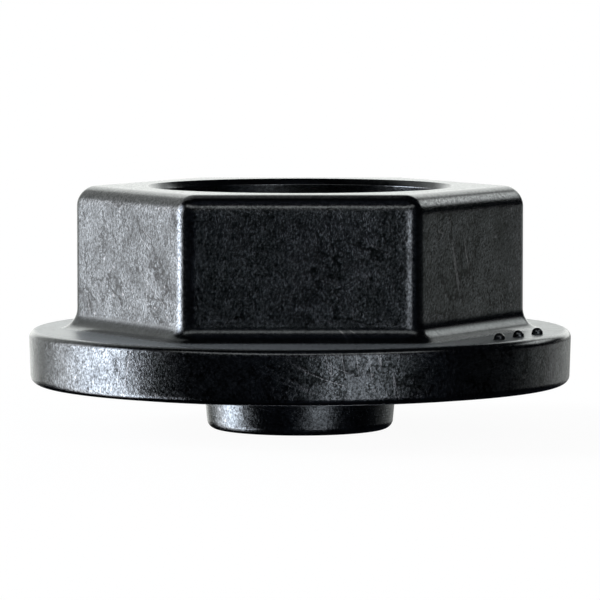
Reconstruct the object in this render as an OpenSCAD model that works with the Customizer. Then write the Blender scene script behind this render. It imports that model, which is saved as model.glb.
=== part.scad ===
// Flanged hex nut with an inset captive pressure washer and a spring-seated threaded core.
// Millimetres. +Z up, along the thread. Z = 0 is the seat plane, under the pressure washer.
// The hex has one flat facing -Y, so two of its corners lie on the X axis.

/* [Hex] */
// Hex width across the flats
hex_af = 33; // [32.6:0.1:33.4]
// Height of the flat top above the seat plane
hex_top_z = 16.75; // [16.6:0.05:18]
// Rounding of the six upright edges
hex_edge_r = 1.8; // [1.75:0.05:2.2]
// Rounding of the hex's top edge
hex_top_r = 1.7; // [1.2:0.05:1.7]
// Fillet between the hex and the flange below it
hex_foot_r = 1.7; // [1:0.05:1.8]

/* [Flange] */
// Radius of the flange at its widest
flange_r = 22.8; // [22.7:0.05:23]
// How much the flange tapers in from its upper edge to its lower one
flange_taper = 0.1; // [0:0.05:0.2]
// Height of the flange's flat top
flange_top_z = 4.75; // [4.7:0.01:4.8]
// Height of the flange's underside, clear of the seat plane
flange_under_z = 0.2; // [0.1:0.01:0.25]
// Rounding of the flange's upper and lower edges
flange_round = 0.7; // [0.4:0.05:0.9]
// Radius of the recess that holds the pressure washer
recess_r = 20.5; // [20.4:0.05:20.8]
// Height of the recess's ceiling at its outer wall
recess_top_z = 3.25; // [3.1:0.05:3.3]
// Drop of that ceiling, a shallow cone, from its outer wall to the neck
recess_drop = 0.35; // [0.2:0.05:0.4]

/* [Marking pips] */
// Diameter of each raised pip on the flange
pip_d = 0.96; // [0.8:0.02:1.2]
// How far a pip stands out of the flange
pip_h = 0.56; // [0.4:0.02:0.6]
// Distance of the row of pips from the thread's axis
pip_row = 20.5; // [20:0.1:20.8]
// Spacing of the pips along the row, which runs beside one hex flat
pip_pitch = 3.36; // [2.5:0.02:3.6]
// Place of the middle pip along the row, from the middle of that flat
pip_shift = 0.47; // [-1:0.01:1]

/* [Counterbore] */
// Radius of the wide bore in the top
bore_r = 12.4; // [12.38:0.01:12.45]
// Height of the wide bore's floor
bore_floor_z = 4.9; // [4.8:0.1:5]
// Chamfer at the mouth of the wide bore
bore_chamfer = 0.5; // [0.3:0.05:0.6]

/* [Neck] */
// Radius of the neck that carries the pressure washer
neck_r = 12; // [11.9:0.05:12]
// Height of the neck's lower end, clear of the seat plane
neck_end_z = 0.4; // [0.3:0.05:0.6]
// Radius at the bottom of the neck's ring groove
neck_groove_r = 11.3; // [11.2:0.05:11.4]

/* [Pressure washer] */
// Outer radius of the washer, which turns inside the flange's recess
washer_r = 20.35; // [20.2:0.05:20.4]
// Radial clearance between the washer and the neck
washer_clearance = 0.08; // [0.05:0.01:0.1]
// Gap between the washer and the recess's ceiling
washer_gap = 0.06; // [0.05:0.01:0.1]
// Radius of the washer's own recess, which hides the snap ring
ring_recess_r = 13.9; // [13.7:0.05:14.2]
// Depth of that recess
ring_recess_depth = 2; // [1.98:0.01:2.05]

/* [Threaded core] */
// Radius of the core's barrel, which slides in the body
barrel_r = 8.25; // [8.2:0.05:8.3]
// Radial clearance round the barrel
barrel_clearance = 0.07; // [0.05:0.01:0.1]
// Radius of the straight part of the pilot
pilot_r = 7.97; // [7.9:0.01:7.99]
// Length of the pilot below the seat plane
pilot_len = 3.69; // [3.6:0.01:4]
// Length of the pilot's straight part below the seat plane
pilot_straight = 1.65; // [1.5:0.05:2]
// Radius of the pilot just above its rounded end
pilot_end_r = 7.85; // [7.75:0.01:7.9]
// Rounding of the pilot's end
pilot_round = 0.8; // [0.6:0.05:1]
// Radius of the thread's bore, M12
thread_r = 5.1; // [5.05:0.01:5.2]
// Radius of the core's collar in the wide bore
core_collar_r = 12.33; // [12.32:0.01:12.34]
// Thickness of the core's collar
core_collar_t = 3.7; // [3.6:0.1:3.8]
// Radius of the boss above the collar
boss_r = 8.4; // [8.35:0.05:8.5]
// Height of the boss's top
boss_top_z = 12.2; // [12.1:0.05:12.3]

/* [Lock ring] */
// Outer radius of the nylon lock ring
lock_r = 7.35; // [7.3:0.05:7.4]
// Inner radius of the nylon lock ring, a little under the stud's
lock_hole_r = 5.6; // [5.5:0.05:5.8]
// Height of the lock ring's underside
lock_z = 9.6; // [9.5:0.1:9.7]
// Thickness of the lock ring
lock_t = 2.3; // [2.1:0.1:2.3]

/* [Drive pins] */
// Number of drive pins between the body and the core
pin_count = 3; // [2, 3]
// Radius of a drive pin
pin_r = 1.5; // [1.4:0.05:1.6]
// Height of a pin's lower end, sunk in the bore's floor
pin_bottom_z = 4.2; // [4.1:0.05:4.4]
// Length of a pin
pin_len = 4.3; // [4.1:0.05:4.35]

/* [Spring stack] */
// Upward travel of the core against its spring
core_travel = 1.5; // [1:0.1:1.5]
// Height kept free for the squeezed spring
spring_room = 1.5; // [1.4:0.05:1.5]
// Inner radius of the wave spring
spring_in_r = 9.3; // [9.2:0.05:9.6]
// Outer radius of the wave spring
spring_out_r = 12; // [11.6:0.05:12.1]
// Thickness of the spring's strip
spring_t = 0.45; // [0.35:0.05:0.5]
// Number of waves round the spring
spring_waves = 3; // [3, 4]
// Inner radius of the cover washer
cover_hole_r = 8.9; // [8.8:0.05:9]
// Thickness of the cover washer
cover_t = 1.2; // [1.1:0.05:1.2]

/* [Rings] */
// Thickness of the circlip in the wide bore
circlip_t = 1.2; // [1:0.05:1.2]
// Outer radius of the circlip, in its groove
circlip_r = 13; // [12.9:0.05:13]
// Thickness of the snap ring on the neck
snap_t = 1; // [0.9:0.05:1]
// Outer radius of the snap ring
snap_r = 13.3; // [13.1:0.05:13.4]

/* [Hidden] */
$fn = 96;
CUT = 1;                // how far a cutting solid runs past what it cuts
TOUCH = 0.03;           // gap between the wave spring and what it leans on
SLACK = 0.05;           // play of a ring in its groove, each way
corner_steps = 6;       // facets round one upright edge of the hex
fillet_steps = 7;       // facets down one fillet
corner_dist = (hex_af / 2 - hex_edge_r) / cos(30);
cone_slope = recess_drop / (recess_r - neck_r);
core_collar_z = bore_floor_z + core_collar_t;
spring_h = core_travel + spring_room;
cover_z = core_collar_z + spring_h;
circlip_z = cover_z + cover_t;
snap_z = neck_end_z + 0.5;

// Height of the recess's ceiling at radius r.
function ceiling(r) = recess_top_z - cone_slope * (recess_r - r);

// One level of a hexagon with rounded corners, grown outwards by off.
function hex_ring(off, z) = [
    for (k = [0 : 5])
        for (j = [0 : corner_steps])
            let (a = 60 * k - 30 + 60 * j / corner_steps)
            [corner_dist * cos(60 * k) + (hex_edge_r + off) * cos(a),
             corner_dist * sin(60 * k) + (hex_edge_r + off) * sin(a), z]
];

// Points on a circular arc, from angle a0 to a1.
function arc(cx, cy, r, a0, a1, steps) = [
    for (i = [0 : steps])
        let (a = a0 + (a1 - a0) * i / steps)
        [cx + r * cos(a), cy + r * sin(a)]
];

// A solid skinned over closed rings of equal length, listed from the bottom up.
module skin(rings) {
    n = len(rings[0]);
    last = len(rings) - 1;
    points = [for (ring = rings) for (p = ring) p];
    walls = [
        for (i = [0 : last - 1])
            for (j = [0 : n - 1])
                let (k = (j + 1) % n)
                [i * n + j, (i + 1) * n + j, (i + 1) * n + k, i * n + k]
    ];
    floor_face = [[for (j = [0 : n - 1]) j]];
    top_face = [[for (j = [n - 1 : -1 : 0]) last * n + j]];
    polyhedron(points = points, faces = concat(walls, floor_face, top_face), convexity = 4);
}

// The hex with its top rounding and the hollow fillet at its foot.
module hex_block() {
    foot_z = flange_top_z + hex_foot_r;
    foot = arc(hex_foot_r, foot_z, hex_foot_r, 270, 180, fillet_steps);
    crown = arc(-hex_top_r, hex_top_z - hex_top_r, hex_top_r, 0, 90, fillet_steps);
    levels = concat([[hex_foot_r, flange_top_z - CUT]], foot, crown);
    skin([for (p = levels) hex_ring(p[0], p[1])]);
}

// The flange and the neck below it, turned in one piece, with the washer's recess between them.
module flange_and_neck() {
    neck_chamfer = 0.3;
    mouth_chamfer = 0.2;
    low_r = flange_r - flange_taper - flange_round;
    rotate_extrude($fn = 144)
        polygon(concat(
            [
                [0, neck_end_z],
                [neck_r - neck_chamfer, neck_end_z],
                [neck_r, neck_end_z + neck_chamfer],
                [neck_r, ceiling(neck_r)],
                [recess_r, recess_top_z],
                [recess_r, flange_under_z + mouth_chamfer],
                [recess_r + mouth_chamfer, flange_under_z]
            ],
            arc(low_r, flange_under_z + flange_round, flange_round, -90, 0, 8),
            arc(flange_r - flange_round, flange_top_z - flange_round, flange_round, 0, 90, 8),
            [[0, flange_top_z]]
        ));
}

// Three small domes in a row on the flange, beside one hex flat.
module marking_pips() {
    for (i = [-1 : 1])
        rotate([0, 0, -30])
            translate([pip_row, pip_shift + i * pip_pitch, flange_top_z + pip_h - pip_d / 2])
                sphere(d = pip_d, $fn = 32);
}

// Places a child at each drive pin, one under every other corner of the hex.
module at_pins() {
    for (i = [0 : pin_count - 1])
        rotate([0, 0, i * 360 / pin_count])
            translate([bore_r, 0, 0])
                children();
}

module bore_cuts() {
    translate([0, 0, bore_floor_z])
        cylinder(r = bore_r, h = hex_top_z - bore_floor_z + CUT);
    translate([0, 0, hex_top_z - bore_chamfer])
        cylinder(r1 = bore_r, r2 = bore_r + 2 * bore_chamfer, h = 2 * bore_chamfer);
    translate([0, 0, circlip_z - SLACK])
        cylinder(r = circlip_r + SLACK, h = circlip_t + 2 * SLACK);
    translate([0, 0, neck_end_z - CUT])
        cylinder(r = barrel_r + barrel_clearance, h = bore_floor_z - neck_end_z + 2 * CUT);
}

module neck_groove() {
    translate([0, 0, snap_z - SLACK])
        rotate_extrude()
            translate([neck_groove_r, 0])
                square([neck_r - neck_groove_r + CUT, snap_t + 2 * SLACK]);
}

module nut_body() {
    color([0.16, 0.17, 0.18])
        difference() {
            union() {
                hex_block();
                flange_and_neck();
                marking_pips();
            }
            bore_cuts();
            neck_groove();
            at_pins()
                translate([0, 0, pin_bottom_z])
                    cylinder(r = pin_r, h = pin_len, $fn = 48);
        }
}

module drive_pins() {
    tip = 0.25;
    color([0.55, 0.56, 0.57])
        at_pins()
            translate([0, 0, pin_bottom_z])
                rotate_extrude($fn = 48)
                    polygon([
                        [0, 0],
                        [pin_r - tip, 0],
                        [pin_r, tip],
                        [pin_r, pin_len - tip],
                        [pin_r - tip, pin_len],
                        [0, pin_len]
                    ]);
}

module cover_washer() {
    color([0.4, 0.41, 0.42])
        translate([0, 0, cover_z])
            difference() {
                cylinder(r = core_collar_r, h = cover_t);
                translate([0, 0, -CUT])
                    cylinder(r = cover_hole_r, h = cover_t + 2 * CUT);
            }
}

// Internal ring, widest opposite its gap, with a plier hole in each lug.
module bore_circlip() {
    lug_r = 1.5;
    lug_dist = 10.3;
    lug_angle = 11;
    hole_r = 0.8;
    inner_r = 11.15;
    eccentric = 0.45;
    color([0.3, 0.31, 0.32])
        translate([0, 0, circlip_z])
            linear_extrude(circlip_t)
                difference() {
                    union() {
                        difference() {
                            circle(r = circlip_r);
                            translate([0, eccentric])
                                circle(r = inner_r);
                        }
                        for (side = [-1, 1])
                            rotate(90 + side * lug_angle)
                                union() {
                                    translate([lug_dist, 0])
                                        circle(r = lug_r);
                                    translate([lug_dist, -lug_r])
                                        square([circlip_r - lug_dist - 0.4, 2 * lug_r]);
                                }
                    }
                    polygon([[0, 0], [-1.1, 2 * circlip_r], [1.1, 2 * circlip_r]]);
                    for (side = [-1, 1])
                        rotate(90 + side * lug_angle)
                            translate([lug_dist, 0])
                                circle(r = hole_r);
                }
}

// Plain external ring, open by a narrow gap at the back.
module washer_snap_ring() {
    gap = 2.4;
    color([0.45, 0.46, 0.47])
        translate([0, 0, snap_z])
            linear_extrude(snap_t)
                difference() {
                    circle(r = snap_r);
                    circle(r = neck_groove_r + SLACK);
                    translate([-gap / 2, 0])
                        square([gap, 2 * snap_r]);
                }
}

// A flat strip bent into a closed wave, a little short of the faces above and below it.
module wave_spring() {
    steps = 96;
    swing = (spring_h - 2 * TOUCH - spring_t) / 2;
    mid_z = core_collar_z + spring_h / 2;
    low = -spring_t / 2;
    high = spring_t / 2;
    corners = [[spring_in_r, low], [spring_out_r, low], [spring_out_r, high], [spring_in_r, high]];
    points = [
        for (i = [0 : steps - 1])
            let (a = 360 * i / steps, z = mid_z + swing * cos(spring_waves * a))
            for (c = corners)
                [c[0] * cos(a), c[0] * sin(a), z + c[1]]
    ];
    faces = [
        for (i = [0 : steps - 1])
            for (c = [0 : 3])
                let (here = 4 * i, next = 4 * ((i + 1) % steps), d = (c + 1) % 4)
                for (tri = [[here + c, next + d, next + c], [here + c, here + d, next + d]])
                    tri
    ];
    color([0.5, 0.52, 0.55])
        polyhedron(points = points, faces = faces, convexity = 8);
}

module pressure_washer() {
    hole_r = neck_r + washer_clearance;
    low_chamfer = 0.04;
    top_chamfer = 0.2;
    ring_chamfer = 0.3;
    color([0.55, 0.56, 0.57])
        rotate_extrude($fn = 144)
            polygon([
                [hole_r, ring_recess_depth],
                [ring_recess_r, ring_recess_depth],
                [ring_recess_r, ring_chamfer],
                [ring_recess_r + ring_chamfer, 0],
                [washer_r - low_chamfer, 0],
                [washer_r, low_chamfer],
                [washer_r, ceiling(washer_r) - washer_gap - top_chamfer],
                [washer_r - top_chamfer, ceiling(washer_r - top_chamfer) - washer_gap],
                [hole_r, ceiling(hole_r) - washer_gap]
            ]);
}

module threaded_core() {
    lead = 0.8;
    chamfer = 0.25;
    lip = 0.45;
    lip_t = boss_top_z - lock_z - lock_t;
    shoulder_z = neck_end_z + 0.1;
    color([0.2, 0.21, 0.22])
        difference() {
            rotate_extrude()
                polygon(concat(
                    [
                        [thread_r, lead - pilot_len],
                        [thread_r + lead, -pilot_len]
                    ],
                    arc(pilot_end_r - pilot_round, pilot_round - pilot_len, pilot_round, -90, 0, 8),
                    [
                        [pilot_r, -pilot_straight],
                        [pilot_r, shoulder_z - barrel_r + pilot_r],
                        [barrel_r, shoulder_z],
                        [barrel_r, bore_floor_z],
                        [core_collar_r - chamfer, bore_floor_z],
                        [core_collar_r, bore_floor_z + chamfer],
                        [core_collar_r, core_collar_z - chamfer],
                        [core_collar_r - chamfer, core_collar_z],
                        [boss_r, core_collar_z],
                        [boss_r, boss_top_z - chamfer],
                        [boss_r - chamfer, boss_top_z],
                        [lock_r - lip, boss_top_z],
                        [lock_r - lip, boss_top_z - lip_t],
                        [lock_r, boss_top_z - lip_t],
                        [lock_r, lock_z],
                        [thread_r, lock_z]
                    ]
                ));
            at_pins()
                translate([0, 0, bore_floor_z - CUT])
                    cylinder(r = pin_r + 0.06, h = core_collar_t + 2 * CUT, $fn = 48);
        }
}

module lock_ring() {
    color([0.75, 0.75, 0.7])
        translate([0, 0, lock_z])
            difference() {
                cylinder(r = lock_r, h = lock_t);
                translate([0, 0, -CUT])
                    cylinder(r = lock_hole_r, h = lock_t + 2 * CUT);
            }
}

nut_body();
drive_pins();
cover_washer();
bore_circlip();
washer_snap_ring();
wave_spring();
pressure_washer();
threaded_core();
lock_ring();
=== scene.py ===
from math import acos, cos, degrees, pi, radians, sin, tan

import bpy
import numpy as np
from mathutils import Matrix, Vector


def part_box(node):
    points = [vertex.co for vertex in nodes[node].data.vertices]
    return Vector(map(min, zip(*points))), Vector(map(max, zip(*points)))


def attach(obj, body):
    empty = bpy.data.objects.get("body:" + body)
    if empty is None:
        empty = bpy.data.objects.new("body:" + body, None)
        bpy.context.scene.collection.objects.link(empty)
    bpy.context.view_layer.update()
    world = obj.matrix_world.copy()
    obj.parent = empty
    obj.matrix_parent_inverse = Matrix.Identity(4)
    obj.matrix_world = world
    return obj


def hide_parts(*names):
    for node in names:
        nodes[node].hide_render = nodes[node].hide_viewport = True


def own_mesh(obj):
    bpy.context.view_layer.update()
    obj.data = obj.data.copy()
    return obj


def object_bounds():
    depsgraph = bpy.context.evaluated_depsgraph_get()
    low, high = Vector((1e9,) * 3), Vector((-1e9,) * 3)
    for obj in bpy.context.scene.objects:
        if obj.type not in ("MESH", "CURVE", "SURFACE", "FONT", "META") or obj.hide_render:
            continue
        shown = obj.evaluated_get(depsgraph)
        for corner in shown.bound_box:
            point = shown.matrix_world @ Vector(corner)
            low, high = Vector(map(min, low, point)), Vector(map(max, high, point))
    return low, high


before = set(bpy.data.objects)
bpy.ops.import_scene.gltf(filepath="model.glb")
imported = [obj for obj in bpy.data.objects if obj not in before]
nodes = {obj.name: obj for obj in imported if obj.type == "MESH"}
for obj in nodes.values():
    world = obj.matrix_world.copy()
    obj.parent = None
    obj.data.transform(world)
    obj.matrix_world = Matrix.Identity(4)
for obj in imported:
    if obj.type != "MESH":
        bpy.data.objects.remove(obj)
cad_lo, cad_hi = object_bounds()
MM = 0.001


def box_mm(node):
    lo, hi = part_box(node)
    return [c / MM for c in lo], [c / MM for c in hi]


# ---------------------------------------------------------------- sizes, in millimetres
# What the CAD boxes can give comes from them; most of the rest follows part.scad.

body_lo, body_hi = box_mm("nut_body")
washer_lo, washer_hi = box_mm("pressure_washer")
core_lo, core_hi = box_mm("threaded_core")
spring_lo, spring_hi = box_mm("wave_spring")
cover_lo, cover_hi = box_mm("cover_washer")
lock_lo, lock_hi = box_mm("lock_ring")
snap_lo, snap_hi = box_mm("washer_snap_ring")
clip_lo, clip_hi = box_mm("bore_circlip")

HALF_AF = 16.5
EDGE_R = 1.8
TOP_R = 1.7
FOOT_R = 1.7
CORNER = (HALF_AF - EDGE_R) / cos(radians(30))
FOOT_OUT = CORNER + EDGE_R + FOOT_R
FLANGE_R = body_hi[0]
FLANGE_TAPER = 0.1
FLANGE_ROUND = 0.7
FLANGE_TOP = 4.75
FLANGE_UNDER = body_lo[2]
RECESS_R = 20.5
RECESS_TOP = 3.25
RECESS_DROP = 0.35
NECK_R = 12.0
NECK_END = 0.4
BORE_R = 12.4
BORE_FLOOR = 4.9
TOP_Z = body_hi[2]
SEAT_Z = washer_lo[2]
BARREL_R = 8.25
BARREL_PLAY = 0.07
GROOVE_PLAY = 0.05
SNAP_GROOVE_R = 11.3
CLIP_GROOVE_R = 13.05
NECK_CHAMFER = 0.3
RECESS_CHAMFER = 0.2
BORE_CHAMFER = 0.5
FOOT_GAP = 0.02


def ceiling(r):
    """Height of the ceiling of the washer's recess at radius r."""
    return RECESS_TOP - RECESS_DROP * (RECESS_R - r) / (RECESS_R - NECK_R)


# ---------------------------------------------------------------- mesh helpers


def soften(loop, steps=4):
    """Rounds the corners of a closed profile. A point is (kind, a, z, radius), and kind "c" is a
    circle of radius a. Any other kind stands for a curve that the caller puts in its place and
    has no radius; "foot" and "crown" lie on the hexagon grown outwards by a. Returns rows of
    (kind, a, z, wear), where wear is 1 in the middle of an outer edge."""
    def flat(p):
        return np.array([p[1] + (HALF_AF if p[0] in ("foot", "crown") else 0.0), p[2]])

    pts = [flat(p) for p in loop]
    area = sum(a[0] * b[1] - b[0] * a[1] for a, b in zip(pts, pts[1:] + pts[:1]))
    out = []
    n = len(loop)
    for i, p in enumerate(loop):
        here, before, after = pts[i], pts[i - 1], pts[(i + 1) % n]
        u, v = before - here, after - here
        lu, lv = np.linalg.norm(u), np.linalg.norm(v)
        if p[3] <= 0 or lu < 1e-6 or lv < 1e-6:
            out.append((p[0], p[1], p[2], 0.0))
            continue
        u, v = u / lu, v / lv
        inside = acos(max(-1.0, min(1.0, float(u @ v))))
        if inside > radians(176):
            out.append((p[0], p[1], p[2], 0.0))
            continue
        cut = min(p[3] / tan(inside / 2), 0.45 * lu, 0.45 * lv)
        cross = u[0] * v[1] - u[1] * v[0]
        convex = 1.0 if cross * area < 0 else 0.0
        for k in range(steps + 1):
            t = k / steps
            q = here + (1 - t) ** 2 * cut * u + t ** 2 * cut * v
            out.append((p[0], q[0], q[1], convex * sin(pi * t) ** 0.5 if 0 < t < 1 else 0.0))
    return out


def arc(kind, cx, cz, r, a0, a1, steps, wear=0.0):
    """Points of an arc that need no more rounding, as rows of (kind, a, z, wear). Kind "c" is a
    circle of radius a, "h" a level of the hexagon grown outwards by a."""
    rows = []
    for k in range(steps + 1):
        t = k / steps
        a = radians(a0 + (a1 - a0) * t)
        rows.append((kind, cx + r * cos(a), cz + r * sin(a), wear * sin(pi * t)))
    return rows


def hex_columns(corner_steps=10, flat_steps=22):
    """Normal angle and share of the flat for each column round the hexagon."""
    cols = []
    for k in range(6):
        for j in range(corner_steps + 1):
            cols.append((k, radians(60 * k - 30 + 60 * j / corner_steps), 0.0))
        for j in range(1, flat_steps):
            cols.append((k, radians(60 * k + 30), j / flat_steps))
    return cols


def hex_level(cols, off, z):
    """The rounded hexagon, grown outwards by off, as a ring of points at height z."""
    pts = []
    for k, a, share in cols:
        def point(corner):
            c = radians(60 * corner)
            r = EDGE_R + off
            return np.array([CORNER * cos(c) + r * cos(a), CORNER * sin(c) + r * sin(a), z])
        p = point(k)
        if share:
            p = p + (point(k + 1) - p) * share
        pts.append(p)
    return np.array(pts)


def circle_level(angles, r, z):
    return np.stack([r * np.cos(angles), r * np.sin(angles), np.full(len(angles), z)], axis=1)


def add_field(mesh, key, values):
    attribute = mesh.attributes.new(key, "FLOAT", "POINT")
    attribute.data.foreach_set("value", np.asarray(values, np.float32).ravel())


def make_object(name, verts_mm, faces, wear):
    """wear is 0 to 1 at each point, where the coating is rubbed thin."""
    mesh = bpy.data.meshes.new(name)
    mesh.from_pydata((np.asarray(verts_mm) * MM).tolist(), [], faces)
    add_field(mesh, "wear", wear)
    mesh.validate()
    mesh.shade_smooth()
    obj = bpy.data.objects.new(name, mesh)
    bpy.context.scene.collection.objects.link(obj)
    return obj


def ring_skin(name, rings, wear):
    """A closed skin through a loop of closed rings."""
    m, n = len(rings), len(rings[0])
    faces = []
    for i in range(m):
        a, b = i * n, ((i + 1) % m) * n
        for j in range(n):
            k = (j + 1) % n
            faces.append([a + j, a + k, b + k, b + j])
    obj = make_object(name, np.concatenate(rings), faces, np.repeat(wear, n))
    weigh_normals(obj)
    return obj


def weigh_normals(obj):
    modifier = obj.modifiers.new("even_normals", "WEIGHTED_NORMAL")
    modifier.mode = "FACE_AREA"
    modifier.weight = 60
    modifier.keep_sharp = True


def bevel_edges(obj, width, segments, limit):
    """Rounds the edges that turn by more than limit degrees. width is in millimetres."""
    bevel = obj.modifiers.new("edges", "BEVEL")
    bevel.width = width * MM
    bevel.segments = segments
    bevel.limit_method = "ANGLE"
    bevel.angle_limit = radians(limit)


def lathe(name, rows, count, shape=None):
    """Turns a closed profile, listed anticlockwise in (r, z). shape may change the radii."""
    angles = np.arange(count) * 2 * pi / count
    rings = []
    for _, r, z, _ in rows:
        radii = np.full(count, r) if shape is None else shape(angles, r, z)
        rings.append(circle_level(angles, radii, z))
    return ring_skin(name, rings, [row[3] for row in rows])


def swept_ring(name, rows, start, end, count):
    """An open ring: the closed profile swept from angle start to end, with both ends closed."""
    angles = np.radians(np.linspace(start, end, count))
    m = len(rows)
    verts, wear = [], []
    for i, a in enumerate(angles):
        for _, r, z, w in rows:
            verts.append([r * cos(a), r * sin(a), z])
            wear.append(1.0 if i in (0, count - 1) else w)
    faces = []
    for i in range(count - 1):
        for j in range(m):
            k = (j + 1) % m
            faces.append([i * m + j, (i + 1) * m + j, (i + 1) * m + k, i * m + k][::-1])
    faces.append(list(range(m))[::-1])
    faces.append([(count - 1) * m + j for j in range(m)])
    obj = make_object(name, verts, faces, wear)
    bevel_edges(obj, 0.06, segments=2, limit=60)
    weigh_normals(obj)
    return obj


# ---------------------------------------------------------------- nut body


def shares_between(row, after):
    """Where extra rings lie between two rows of the body's profile: on the flat tops, where the
    hexagon meets a circle, and on tall walls, except in the bore and on the neck."""
    if row[0] != after[0]:
        return (0.25, 0.5, 0.75)
    if abs(after[2] - row[2]) > 2.5 and abs(row[1] - BORE_R) > 1:
        return (0.03, 0.25, 0.5, 0.75, 0.97)
    return ()


def build_nut_body():
    cols = hex_columns()
    foot = hex_level(cols, FOOT_R, 0.0)
    angles = np.arctan2(foot[:, 1], foot[:, 0])
    clip_groove_lo, clip_groove_hi = clip_lo[2] - GROOVE_PLAY, clip_hi[2] + GROOVE_PLAY
    snap_groove_lo, snap_groove_hi = snap_lo[2] - GROOVE_PLAY, snap_hi[2] + GROOVE_PLAY
    hole_r = BARREL_R + BARREL_PLAY
    low_r = FLANGE_R - FLANGE_TAPER - FLANGE_ROUND
    loop = soften([
        ("c", hole_r, NECK_END, 0.1),
        ("c", NECK_R - NECK_CHAMFER, NECK_END, 0.05),
        ("c", NECK_R, NECK_END + NECK_CHAMFER, 0.05),
        ("c", NECK_R, snap_groove_lo, 0.05),
        ("c", SNAP_GROOVE_R, snap_groove_lo, 0.05),
        ("c", SNAP_GROOVE_R, snap_groove_hi, 0.05),
        ("c", NECK_R, snap_groove_hi, 0.05),
        ("c", NECK_R, ceiling(NECK_R), 0.1),
        ("c", RECESS_R, RECESS_TOP, 0.1),
        ("c", RECESS_R, FLANGE_UNDER + RECESS_CHAMFER, 0.05),
        ("c", RECESS_R + RECESS_CHAMFER, FLANGE_UNDER, 0.05),
        ("lower", low_r, FLANGE_UNDER, 0.0),
        ("upper", FLANGE_R, FLANGE_TOP, 0.0),
        ("c", FOOT_OUT + FOOT_GAP, FLANGE_TOP, 0.0),
        ("foot", FOOT_R, FLANGE_TOP, 0.0),
        ("crown", -TOP_R, TOP_Z, 0.0),
        ("c", BORE_R + BORE_CHAMFER, TOP_Z, 0.12),
        ("c", BORE_R, TOP_Z - BORE_CHAMFER, 0.1),
        ("c", BORE_R, clip_groove_hi, 0.05),
        ("c", CLIP_GROOVE_R, clip_groove_hi, 0.05),
        ("c", CLIP_GROOVE_R, clip_groove_lo, 0.05),
        ("c", BORE_R, clip_groove_lo, 0.05),
        ("c", BORE_R, BORE_FLOOR, 0.15),
        ("c", hole_r, BORE_FLOOR, 0.15),
    ])
    high_r = FLANGE_R - FLANGE_ROUND
    curves = {
        "lower": arc("c", low_r, FLANGE_UNDER + FLANGE_ROUND, FLANGE_ROUND, -90, 0, 14, wear=0.3),
        "upper": arc("c", high_r, FLANGE_TOP - FLANGE_ROUND, FLANGE_ROUND, 0, 90, 14, wear=0.5),
        "foot": arc("h", FOOT_R, FLANGE_TOP + FOOT_R, FOOT_R, 270, 180, 16),
        "crown": arc("h", -TOP_R, TOP_Z - TOP_R, TOP_R, 0, 90, 18, wear=0.7),
    }
    rows = []
    for row in loop:
        rows += curves.get(row[0], [row])
    rings, wear = [], []

    def ring(row):
        kind, a, z, _ = row
        return hex_level(cols, a, z) if kind == "h" else circle_level(angles, a, z)

    for i, row in enumerate(rows):
        here = ring(row)
        rings.append(here)
        wear.append(row[3])
        after = rows[(i + 1) % len(rows)]
        for t in shares_between(row, after):
            rings.append(here + (ring(after) - here) * t)
            wear.append(0.0)
    obj = ring_skin("nut_body_forging", rings, wear)
    edge_wear(obj, cols, len(rings))
    return obj


def edge_wear(obj, cols, ring_count):
    """Adds wear along the six upright edges. Marks as smooth what isn't a hex flat or the rim, and
    as faced the two flat tops, the lower one fading into its roundings."""
    hex_lo, hex_hi, hex_reach = FLANGE_TOP + 0.75 * FOOT_R, TOP_Z - 0.6 * TOP_R, 15.5
    rim_lo, rim_hi, rim_reach = FLANGE_UNDER + 0.3, FLANGE_TOP - 0.6 * FLANGE_ROUND, 22.2
    bore_reach, fade, level, top_share = 15, 0.12, 0.004, 0.35
    mesh = obj.data
    values = np.zeros(len(mesh.vertices), np.float32)
    mesh.attributes["wear"].data.foreach_get("value", values)
    wear = values.reshape(ring_count, len(cols))
    smooth = np.zeros_like(wear)
    faced = np.zeros_like(wear)
    co = np.array([v.co for v in mesh.vertices]).reshape(ring_count, len(cols), 3) / MM
    for j, (k, a, share) in enumerate(cols):
        off = 1.0 if share else abs(degrees(a) - 60 * k) / 30
        edge = max(0.0, 1 - off ** 2)
        for i in range(ring_count):
            x, y, z = co[i, j]
            reach = x * x + y * y
            on_hex = hex_lo < z < hex_hi and reach > hex_reach ** 2
            on_rim = rim_lo < z < rim_hi and reach > rim_reach ** 2
            if on_hex:
                wear[i, j] = max(wear[i, j], 0.3 * edge)
                smooth[i, j] = 0.8 * edge
            elif not on_rim:
                smooth[i, j] = 1.0
            if reach > bore_reach ** 2:
                faced[i, j] = max(0.0, 1 - abs(z - FLANGE_TOP) / fade)
            if abs(z - TOP_Z) < level:
                faced[i, j] = top_share
    mesh.attributes["wear"].data.foreach_set("value", wear.ravel())
    add_field(mesh, "smooth", smooth)
    add_field(mesh, "faced", faced)


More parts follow.
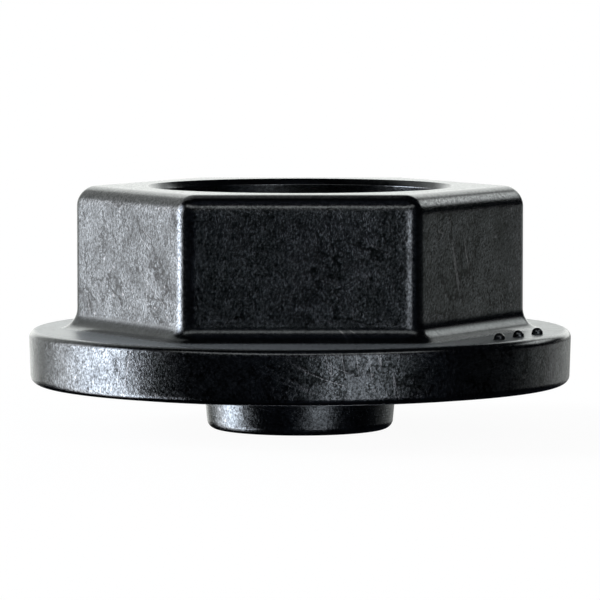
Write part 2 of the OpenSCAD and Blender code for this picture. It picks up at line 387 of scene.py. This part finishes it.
def build_pips():
    """Three domes with a small fillet at the foot, in a row beside one hex flat."""
    verts, faces, wear = [], [], []
    count = 40
    dome_r, dome_h, worn_depth = 0.46, 0.56, 0.4
    top = FLANGE_TOP + dome_h
    row_x, pitch, shift = 20.5, 3.36, 0.47
    turn = radians(-30)
    profile = [(0.0, 0.0)]
    profile += [(dome_r * sin(radians(t)), dome_r * (cos(radians(t)) - 1)) for t in range(9, 91, 9)]
    fillet = ((0.01, -0.5), (0.04, -0.54), (0.08, -0.565), (0.08, -0.7))
    profile += [(dome_r + out, dz) for out, dz in fillet]
    for side in (-1, 0, 1):
        across = shift + side * pitch
        cx = row_x * cos(turn) - across * sin(turn)
        cy = row_x * sin(turn) + across * cos(turn)
        base = len(verts)
        verts.append([cx, cy, top])
        wear.append(1.0)
        for r, dz in profile[1:]:
            for j in range(count):
                b = 2 * pi * j / count
                verts.append([cx + r * cos(b), cy + r * sin(b), top + dz])
                wear.append(max(0.0, 1 + dz / worn_depth))
        rows = len(profile) - 1
        for j in range(count):
            k = (j + 1) % count
            faces.append([base, base + 1 + j, base + 1 + k])
            for i in range(rows - 1):
                p, q = base + 1 + i * count, base + 1 + (i + 1) * count
                faces.append([p + j, q + j, q + k, p + k])
        last = base + 1 + (rows - 1) * count
        faces.append([last + j for j in range(count)][::-1])
    return make_object("marking_pips", verts, faces, wear)


# ---------------------------------------------------------------- pressure washer


def build_pressure_washer():
    hole_r, recess_r, recess_z, mouth = NECK_R + 0.08, 13.9, 2.0, 0.3
    play, chamfer, seat_chamfer = 0.06, 0.2, 0.04
    r = washer_hi[0]
    rows = soften([
        ("c", hole_r, ceiling(hole_r) - play, 0.08),
        ("c", hole_r, recess_z, 0.05),
        ("c", recess_r, recess_z, 0.1),
        ("c", recess_r, mouth, 0.05),
        ("c", recess_r + mouth, SEAT_Z, 0.08),
        ("c", r - seat_chamfer, SEAT_Z, 0.0),
        ("c", r, SEAT_Z + seat_chamfer, 0.0),
        ("c", r, ceiling(r) - (play + chamfer), 0.08),
        ("c", r - chamfer, ceiling(r - chamfer) - play, 0.08),
    ])
    return lathe("pressure_washer_ring", rows, 288)


# ---------------------------------------------------------------- threaded core


def build_threaded_core():
    bottom, top = core_lo[2], core_hi[2]
    pilot_r, pilot_end_r, pilot_round, end_r = 7.97, 7.85, 0.8, 6.9
    pilot_lo, pilot_hi, barrel_z = -1.65, 0.22, 0.5
    minor, major, pitch = 5.06, 6.0, 1.75
    crest, flank, run_out = 0.09, 0.3, 0.3
    mouth_r, throat_r, lead, inset = 5.1, 5.12, 0.8, 0.02
    collar_z, collar_top, collar_r = BORE_FLOOR, BORE_FLOOR + 3.7, core_hi[0]
    sleeve_r, chamfer = 8.4, 0.25
    pin_r, pin_reach, collar_wall = 1.56, 0.5, 10
    pocket_z, pocket_r, lip_r = lock_lo[2], 7.35, 6.9
    outside = soften([
        ("c", mouth_r + lead, bottom, 0.08),
        ("end", end_r, bottom, 0.0),
        ("end_top", pilot_end_r, bottom + pilot_round, 0.0),
        ("c", pilot_r, pilot_lo, 0.3),
        ("c", pilot_r, pilot_hi, 0.05),
        ("c", BARREL_R, barrel_z, 0.05),
        ("c", BARREL_R, collar_z, 0.1),
        ("c", collar_r - chamfer, collar_z, 0.05),
        ("c", collar_r, collar_z + chamfer, 0.05),
        ("c", collar_r, collar_top - chamfer, 0.05),
        ("c", collar_r - chamfer, collar_top, 0.05),
        ("c", sleeve_r, collar_top, 0.2),
        ("c", sleeve_r, top - chamfer, 0.08),
        ("c", sleeve_r - chamfer, top, 0.08),
        ("c", lip_r, top, 0.08),
        ("c", lip_r, lock_hi[2], 0.03),
        ("c", pocket_r, lock_hi[2], 0.05),
        ("c", pocket_r, pocket_z, 0.05),
        ("c", throat_r, pocket_z, 0.05),
    ])
    round_r, round_z = pilot_end_r - pilot_round, bottom + pilot_round
    curves = {"end": arc("c", round_r, round_z, pilot_round, -90, 0, 12, wear=0.4), "end_top": []}
    rows = []
    for row in outside:
        rows += curves.get(row[0], [row])
    low, high = bottom + inset, pocket_z - 0.12
    count = int((high - low) / pitch * 18)
    rows += [("t", minor, high + (low - high) * i / count, 0.0) for i in range(count + 1)]

    def shape(angles, r, z):
        """Cuts the thread into the bore and the halves of the three pin holes into the collar."""
        radii = np.full(len(angles), r)
        if abs(r - minor) < 1e-9:
            phase = np.mod(z / pitch - angles / (2 * pi), 1.0)
            ramp = np.clip((np.abs(phase - 0.5) - crest) / flank, 0, 1)
            radii = minor + (major - minor) * (1 - ramp)
            kept = 0.35 + 0.65 * min(1.0, (high + 0.1 - z) / run_out) if z > high - 0.5 else 1.0
            radii = minor + (radii - minor) * kept
            cone = mouth_r + lead - (z - bottom)
            radii = np.maximum(radii, min(cone, mouth_r + lead - inset))
            if z > high - run_out:
                radii = np.minimum(radii, throat_r + (high - z) / run_out * 0.9)
        elif collar_z - 1e-6 <= z <= collar_top + 1e-6 and r > collar_wall:
            for k in range(3):
                off = np.abs(np.mod(angles - 2 * pi * k / 3 + pi, 2 * pi) - pi)
                under = pin_r ** 2 - (BORE_R * np.sin(off)) ** 2
                near = (off < pin_reach) & (under > 0)
                cut = BORE_R * np.cos(off) - np.sqrt(np.maximum(under, 0))
                radii = np.where(near, np.minimum(radii, cut), radii)
        return radii

    return lathe("threaded_core_turning", rows, 240, shape)


# ---------------------------------------------------------------- small parts


def ring_profile(in_r, out_r, lo, hi, edges, steps=4):
    """A rectangle with rounded corners. edges are the corners' radii, from in_r, lo outwards."""
    corners = ((in_r, lo), (out_r, lo), (out_r, hi), (in_r, hi))
    return soften([("c", r, z, edge) for (r, z), edge in zip(corners, edges)], steps)


def build_wave_spring():
    in_r, out_r, t, waves = 9.3, 12.0, 0.45, 3
    mid = (spring_lo[2] + spring_hi[2]) / 2
    swing = (spring_hi[2] - spring_lo[2] - t) / 2
    rows = ring_profile(in_r, out_r, -t / 2, t / 2, (0.1, 0.1, 0.1, 0.1))
    count = 240
    angles = np.arange(count) * 2 * pi / count
    lift = mid + swing * np.cos(waves * angles)
    rings = []
    for _, r, z, _ in rows:
        rings.append(np.stack([r * np.cos(angles), r * np.sin(angles), lift + z], axis=1))
    return ring_skin("wave_spring_strip", rings, [row[3] for row in rows])


def build_cover_washer():
    in_r = 8.9
    rows = ring_profile(in_r, cover_hi[0], cover_lo[2], cover_hi[2], (0.12, 0.12, 0.12, 0.12))
    return lathe("cover_washer_ring", rows, 192)


def build_lock_ring():
    in_r = 5.6
    rows = ring_profile(in_r, lock_hi[0], lock_lo[2], lock_hi[2], (0.25, 0.15, 0.1, 0.3), steps=6)
    return lathe("lock_ring_nylon", rows, 144)


def build_snap_ring():
    in_r, out_r, gap, gap_r = 11.35, 13.3, 1.2, 12.3
    rows = ring_profile(in_r, out_r, snap_lo[2], snap_hi[2], (0.1, 0.1, 0.1, 0.1))
    half_gap = degrees(gap / gap_r)
    return swept_ring("washer_snap_ring_wire", rows, 90 + half_gap, 450 - half_gap, 200)


def soften_cad(name, width):
    """Keeps a CAD node's mesh and rounds its edges with modifiers."""
    obj = nodes[name]
    obj.data.shade_smooth()
    weld = obj.modifiers.new("weld", "WELD")
    weld.merge_threshold = 1e-6
    bevel_edges(obj, width, segments=3, limit=40)
    weigh_normals(obj)
    return obj


# ---------------------------------------------------------------- node helpers


class Graph:
    """A small helper for building node trees."""

    def __init__(self, tree):
        self.tree = tree
        tree.nodes.clear()

    def node(self, kind, inputs=None, **settings):
        made = self.tree.nodes.new(kind)
        for key, value in settings.items():
            setattr(made, key, value)
        for key, value in (inputs or {}).items():
            self.feed(made.inputs[key], value)
        return made

    def feed(self, socket, value):
        if isinstance(value, bpy.types.NodeSocket):
            self.tree.links.new(value, socket)
        else:
            socket.default_value = value

    def math(self, operation, a, b=0.0, c=0.0):
        return self.node("ShaderNodeMath", {0: a, 1: b, 2: c}, operation=operation).outputs[0]

    def ramp(self, value, lo, hi, out_lo=0.0, out_hi=1.0, smooth=True):
        made = self.node("ShaderNodeMapRange", {0: value, 1: lo, 2: hi, 3: out_lo, 4: out_hi})
        made.interpolation_type = "SMOOTHSTEP" if smooth else "LINEAR"
        return made.outputs[0]

    def band(self, value, lo, hi, soft_lo, soft_hi=None):
        soft_hi = soft_lo if soft_hi is None else soft_hi
        rise = self.ramp(value, lo - soft_lo, lo + soft_lo)
        fall = self.ramp(value, hi - soft_hi, hi + soft_hi, 1.0, 0.0)
        return self.math("MULTIPLY", rise, fall)

    def mix(self, share, a, b, blend="MIX"):
        made = self.node("ShaderNodeMix", data_type="RGBA", blend_type=blend)
        self.feed(made.inputs[0], share)
        self.feed(made.inputs[6], a)
        self.feed(made.inputs[7], b)
        return made.outputs[2]

    def noise(self, vector, scale, detail=3.0, rough=0.5, distortion=0.0):
        return self.node("ShaderNodeTexNoise", {"Vector": vector, "Scale": scale, "Detail": detail,
                                                "Roughness": rough, "Distortion": distortion}).outputs[0]

    def squeeze(self, vector, x, y, z, turn=(0.0, 0.0, 0.0)):
        """Turns the coordinates, then divides each by its own factor."""
        made = self.node("ShaderNodeMapping", {"Vector": vector, "Scale": (x, y, z), "Rotation": turn},
                         vector_type="TEXTURE")
        return made.outputs[0]

    def contour(self, value, width):
        """A thin line wherever a noise passes through its middle value."""
        return self.ramp(self.math("ABSOLUTE", self.math("SUBTRACT", value, 0.5)), 0.0, width, 1.0, 0.0)


def new_material(name):
    material = bpy.data.materials.new(name)
    material.use_nodes = True
    return material, Graph(material.node_tree)


def steel(name, colour, rough, relief=1.0, contrast=1.0, wear_colour=(0.3, 0.3, 0.31), wear_share=0.5,
          long=1.3, rings=0.0, scratches_and_glints=0.6, cracks=0.8, metal=1.0):
    """Coated steel: grain, mottling, fine dark cracks, pits, bright hairlines, painted glints as bright
    specks, and wear.
    long stretches the grain upwards, rings is the height of turning marks, and metal says how
    metallic the coating is. Where the mesh is marked as smooth the grain is fainter, and where it
    is marked as faced the finish is paler and less metallic."""
    material, g = new_material(name)
    place = g.node("ShaderNodeTexCoord").outputs["Object"]
    smooth = g.node("ShaderNodeAttribute", attribute_name="smooth").outputs["Fac"]
    faced = g.node("ShaderNodeAttribute", attribute_name="faced").outputs["Fac"]
    coarse = g.math("MULTIPLY_ADD", smooth, -0.6, 1.0)
    fine = g.noise(g.squeeze(place, 1.0, 1.0, long), 6400.0, 2.0, 0.7)
    mid = g.noise(place, 3600.0, 4.0, 0.7)
    cloud = g.noise(place, 620.0, 4.0, 0.6)
    broad = g.noise(place, 190.0, 4.0, 0.6)

    cracks_seen = 0.0
    for scale, patches in ((210.0, 150.0), (430.0, 260.0)):
        line = g.contour(g.noise(place, scale, 5.0, 0.6), 0.024)
        line = g.math("MULTIPLY", line, g.ramp(g.noise(place, patches, 2.0), 0.51, 0.56))
        cracks_seen = g.math("MAXIMUM", cracks_seen, line)
    # The same cells give dark pits and, in a few of them, bright specks that are painted glints.
    pit_and_glint_cell = g.node("ShaderNodeTexVoronoi", {"Vector": place, "Scale": 2100.0}, feature="F1")
    pit_and_glint_pick = g.node("ShaderNodeSeparateColor", {0: pit_and_glint_cell.outputs["Color"]})
    pit_and_glint_shape = g.ramp(pit_and_glint_cell.outputs["Distance"], 0.12, 0.42, 1.0, 0.0)
    pits = g.math("MULTIPLY", pit_and_glint_shape, g.ramp(pit_and_glint_pick.outputs[0], 0.86, 0.9))
    # Painted glints: bright specks in the base colour standing in for tiny facets that catch the light.
    painted_glints = g.math("MULTIPLY", pit_and_glint_shape, g.ramp(pit_and_glint_pick.outputs[1], 0.95, 0.97))
    marks = 0.0
    for turn, patches in (((0.0, 1.42, 0.0), 130.0), ((1.7, 0.1, 0.0), 170.0), ((0.5, 0.4, 0.0), 150.0)):
        line = g.contour(g.noise(g.squeeze(place, 1.0, 1.0, 0.05, turn), 38.0, 1.0, 0.4), 0.007)
        line = g.math("MULTIPLY", line, g.ramp(g.noise(place, patches, 2.0), 0.58, 0.66))
        marks = g.math("MAXIMUM", marks, line)

    tone = g.math("MULTIPLY", g.ramp(fine, 0.36, 0.64), 0.42)
    tone = g.math("MULTIPLY_ADD", g.ramp(mid, 0.36, 0.64), 0.3, tone)
    tone = g.math("MULTIPLY", g.math("SUBTRACT", tone, 0.36), g.ramp(cloud, 0.35, 0.65, 0.7, 1.35))
    tone = g.math("MULTIPLY_ADD", g.math("SUBTRACT", g.ramp(cloud, 0.34, 0.66), 0.5), 0.17, tone)
    tone = g.math("MULTIPLY_ADD", g.math("SUBTRACT", g.ramp(broad, 0.34, 0.66), 0.5), 0.2, tone)
    tone = g.math("MULTIPLY_ADD", tone, g.math("MULTIPLY", coarse, 2.0 * contrast), 1.0)
    tone = g.math("MULTIPLY_ADD", faced, 2.8, tone)
    dark = g.math("MAXIMUM", g.math("MULTIPLY", cracks_seen, cracks), g.math("MULTIPLY", pits, 0.7))
    tone = g.math("MULTIPLY", tone, g.math("SUBTRACT", 1.0, g.math("MULTIPLY", dark, coarse)))
    base = g.node("ShaderNodeVectorMath", {0: colour, "Scale": tone}, operation="SCALE").outputs[0]
    worn = g.node("ShaderNodeAttribute", attribute_name="wear").outputs["Fac"]
    worn = g.math("MULTIPLY", worn, g.ramp(g.math("ADD", mid, fine), 0.9, 1.15))
    bright = g.math("MAXIMUM", g.math("MULTIPLY", worn, wear_share), g.math("MULTIPLY", marks, scratches_and_glints))
    # The painted glints lighten the base colour towards the wear colour, scaled with the scratches.
    bright = g.math("MAXIMUM", bright, g.math("MULTIPLY", g.math("MULTIPLY", painted_glints, coarse), scratches_and_glints))
    base = g.mix(bright, base, (*wear_colour, 1.0))

    grained = g.ramp(mid, 0.3, 0.7, rough - 0.04, rough + 0.06)
    roughness = g.math("MULTIPLY_ADD", smooth, -0.2 * rough, grained)
    roughness = g.math("MULTIPLY_ADD", faced, 0.14, roughness)
    metallic = g.math("MULTIPLY_ADD", faced, -0.7, metal)
    roughness = g.math("MULTIPLY_ADD", worn, -0.05, roughness)
    height = g.math("MULTIPLY", mid, 0.4)
    height = g.math("MULTIPLY_ADD", broad, 1.6, height)
    height = g.math("MULTIPLY_ADD", fine, 0.45, height)
    height = g.math("MULTIPLY_ADD", g.math("MAXIMUM", pits, cracks_seen), -0.06, height)
    if rings:
        lathe_marks = g.noise(g.squeeze(place, 0.5, 0.5, 0.017), 130.0, 3.0, 0.6)
        height = g.math("MULTIPLY_ADD", lathe_marks, rings, height)
    strength = g.math("MULTIPLY", g.math("MULTIPLY_ADD", smooth, -0.8, 1.0), relief)
    bump = g.node("ShaderNodeBump", {"Height": height, "Strength": strength, "Distance": 0.00005})
    shader = g.node("ShaderNodeBsdfPrincipled", {
        "Base Color": base, "Metallic": metallic, "Roughness": roughness, "Normal": bump.outputs[0]})
    g.feed(g.node("ShaderNodeOutputMaterial").inputs[0], shader.outputs[0])
    return material


def nylon(name):
    material, g = new_material(name)
    place = g.node("ShaderNodeTexCoord").outputs["Object"]
    fine = g.noise(place, 5200.0, 3.0, 0.6)
    broad = g.noise(place, 420.0, 3.0, 0.5)
    base = g.mix(g.ramp(broad, 0.35, 0.65), (0.55, 0.53, 0.46, 1.0), (0.62, 0.6, 0.54, 1.0))
    base = g.mix(g.ramp(fine, 0.4, 0.75, 0.0, 0.25), base, (0.4, 0.38, 0.33, 1.0))
    height = g.math("ADD", fine, broad)
    bump = g.node("ShaderNodeBump", {"Height": height, "Strength": 0.4, "Distance": 0.00002})
    shader = g.node("ShaderNodeBsdfPrincipled", {
        "Base Color": base, "Roughness": g.ramp(fine, 0.3, 0.7, 0.42, 0.58), "Normal": bump.outputs[0]})
    shader.inputs["Subsurface Weight"].default_value = 0.15
    shader.inputs["Subsurface Scale"].default_value = 0.0005
    g.feed(g.node("ShaderNodeOutputMaterial").inputs[0], shader.outputs[0])
    return material


def paint(obj, material):
    obj.data.materials.clear()
    obj.data.materials.append(material)


# ---------------------------------------------------------------- the object

oxide_forged = steel("oxide_forged", (0.093, 0.1, 0.105), 0.21, relief=0.8, contrast=1.08)
washer_zinc = steel("washer_zinc", (0.55, 0.56, 0.57), 0.4, relief=0.4, contrast=0.6, rings=1.0, cracks=0.2,
                    metal=0.45)
oxide_core = steel("oxide_core", (0.088, 0.096, 0.101), 0.22, relief=0.6, rings=0.8, cracks=0.4)
phosphated = steel("phosphated", (0.12, 0.125, 0.13), 0.38, relief=0.6, contrast=0.8, scratches_and_glints=0.3)
spring_steel = steel("spring_steel", (0.28, 0.275, 0.265), 0.26, relief=0.4, contrast=0.5,
                     wear_colour=(0.6, 0.6, 0.6), cracks=0.0)
zinc_flake = steel("zinc_flake", (0.4, 0.41, 0.42), 0.34, relief=0.6, contrast=0.5,
                   wear_colour=(0.7, 0.7, 0.7), rings=0.6, cracks=0.0)

body = build_nut_body()
pips = build_pips()
washer = build_pressure_washer()
core = build_threaded_core()
spring = build_wave_spring()
cover = build_cover_washer()
lock = build_lock_ring()
snap = build_snap_ring()

for piece, rides, node, material in (
    (body, "nut", "nut_body", oxide_forged),
    (washer, "washer", "pressure_washer", washer_zinc),
    (core, "core", "threaded_core", oxide_core),
    (spring, "nut", "wave_spring", spring_steel),
    (cover, "nut", "cover_washer", zinc_flake),
    (lock, "core", "lock_ring", nylon("nylon")),
    (snap, "nut", "washer_snap_ring", phosphated),
):
    paint(piece, material)
    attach(piece, rides)
    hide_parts(node)
paint(pips, oxide_forged)
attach(pips, "nut")
paint(soften_cad("bore_circlip", 0.08), phosphated)
paint(soften_cad("drive_pins", 0.05), spring_steel)
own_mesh(spring)


# ---------------------------------------------------------------- floor, light and camera


def build_floor():
    z = cad_lo[2]
    size = 3.0
    mesh = bpy.data.meshes.new("floor")
    corners = [(-size, -size, z), (size, -size, z), (size, size, z), (-size, size, z)]
    mesh.from_pydata(corners, [], [(0, 1, 2, 3)])
    floor = bpy.data.objects.new("floor", mesh)
    bpy.context.scene.collection.objects.link(floor)
    material, g = new_material("floor")
    diffuse = g.node("ShaderNodeBsdfDiffuse", {"Color": (0.12, 0.12, 0.12, 1.0)})
    glow = g.node("ShaderNodeEmission", {"Color": (1.0, 1.0, 1.0, 1.0), "Strength": 0.95})
    both = g.node("ShaderNodeAddShader", {0: diffuse.outputs[0], 1: glow.outputs[0]})
    g.feed(g.node("ShaderNodeOutputMaterial").inputs[0], both.outputs[0])
    mesh.materials.append(material)
    floor.visible_glossy = False
    floor.visible_diffuse = False


def build_world():
    """A dark studio with a white backdrop behind the nut, a softbox with a hot middle at the
    left, light surfaces behind it and at the right rear, a narrow reflector at the front right,
    a dim strip overhead and a faint bluish fill. The camera sees plain white instead. Angles are
    degrees: azimuth 0 is towards -Y and positive towards +X."""
    world = bpy.data.worlds.new("studio")
    bpy.context.scene.world = world
    world.use_nodes = True
    g = Graph(world.node_tree)
    axes = g.node("ShaderNodeSeparateXYZ", {0: g.node("ShaderNodeTexCoord").outputs["Generated"]})
    x, y, z = axes.outputs
    az = g.math("MULTIPLY", g.math("ARCTAN2", x, g.math("MULTIPLY", y, -1.0)), 180 / pi)
    el = g.math("MULTIPLY", g.math("ARCSINE", z), 180 / pi)
    away = g.math("ABSOLUTE", az)

    softbox = g.math("MULTIPLY", g.band(az, -126, -76, 2, 10), g.band(el, -46, 28, 6, 15))
    hot = g.math("MULTIPLY", g.band(az, -105, -85, 8), 7.2)
    hot = g.math("MULTIPLY", hot, softbox)
    softbox = g.math("MULTIPLY", softbox, 3.65)

    left_rear = g.math("MULTIPLY", g.ramp(az, -132, -124, 1.0, 0.0), g.ramp(el, 15, 60, 0.62, 0.25))
    low_right = g.math("MULTIPLY", g.ramp(az, 106, 132, 0.03, 0.47), g.band(el, -60, -1, 6, 3))
    patch = g.math("MULTIPLY", g.band(az, 125, 150, 2, 5), g.band(el, 20, 30, 6, 3))
    right_rear = g.math("MULTIPLY_ADD", patch, 1.9, g.math("MULTIPLY", low_right, g.ramp(az, 60, 106)))
    behind = g.math("MULTIPLY", g.ramp(away, 148, 162), g.ramp(el, 24, 38, 1.5, 0.0))
    upper_right = g.math("MAXIMUM", g.ramp(el, -2, 3, 0.25, 1.0), g.ramp(az, -5, 5, 1.0, 0.0))
    behind = g.math("MULTIPLY", behind, upper_right)
    rear = g.math("MAXIMUM", g.math("ADD", left_rear, right_rear), behind)
    rear = g.math("MULTIPLY", rear, g.ramp(el, 60, 75, 1.0, 0.0))
    rear = g.math("MULTIPLY", rear, g.ramp(el, -14, -7))

    reflector = g.math("MULTIPLY", g.band(az, 13, 36, 3, 1), g.band(el, -40, 30, 5))
    reflector = g.math("MULTIPLY", reflector, 1.5)
    overhead = g.math("MULTIPLY", g.band(el, 42, 55, 2), g.ramp(away, 60, 80, 0.85, 0.0))
    fill = g.math("MULTIPLY", g.ramp(az, -30, 0, 0.017, 0.031), g.ramp(away, 45, 75, 1.0, 0.3))

    def tinted(level, colour):
        made = g.node("ShaderNodeVectorMath", {0: colour, "Scale": level}, operation="SCALE")
        return made.outputs[0]

    total = tinted(softbox, (1.0, 1.0, 1.02))
    lights = (
        (hot, (0.93, 1.0, 1.14)),
        (rear, (0.98, 1.0, 0.97)),
        (reflector, (0.98, 1.0, 1.05)),
        (overhead, (1.0, 1.0, 0.96)),
        (fill, (0.85, 0.97, 1.3)),
    )
    for level, colour in lights:
        pair = {0: total, 1: tinted(level, colour)}
        total = g.node("ShaderNodeVectorMath", pair, operation="ADD").outputs[0]
    seen = g.node("ShaderNodeLightPath").outputs["Is Camera Ray"]
    studio = g.node("ShaderNodeBackground", {"Color": total, "Strength": 1.0})
    plain = g.node("ShaderNodeBackground", {"Color": (1.0, 1.0, 1.0, 1.0), "Strength": 1.0})
    both = g.node("ShaderNodeMixShader", {0: seen, 1: studio.outputs[0], 2: plain.outputs[0]})
    g.feed(g.node("ShaderNodeOutputWorld").inputs[0], both.outputs[0])
    world.cycles.sampling_method = "MANUAL"
    world.cycles.sample_map_resolution = 2048


def build_camera():
    """A long lens, a little above the nut, looking along +Y."""
    back, up, tilt = 0.4206, 0.03699, 4.065
    camera = bpy.data.cameras.new("camera")
    camera.lens = 300.3
    camera.sensor_width = 36.0
    camera.clip_start = 0.01
    holder = bpy.data.objects.new("camera", camera)
    bpy.context.scene.collection.objects.link(holder)
    holder.location = (0.0, -back, up)
    holder.rotation_euler = (radians(90 - tilt), 0.0, 0.0)
    bpy.context.scene.camera = holder


build_floor()
build_world()
build_camera()
bpy.context.scene.view_settings.view_transform = "Standard"

bpy.context.view_layer.update()
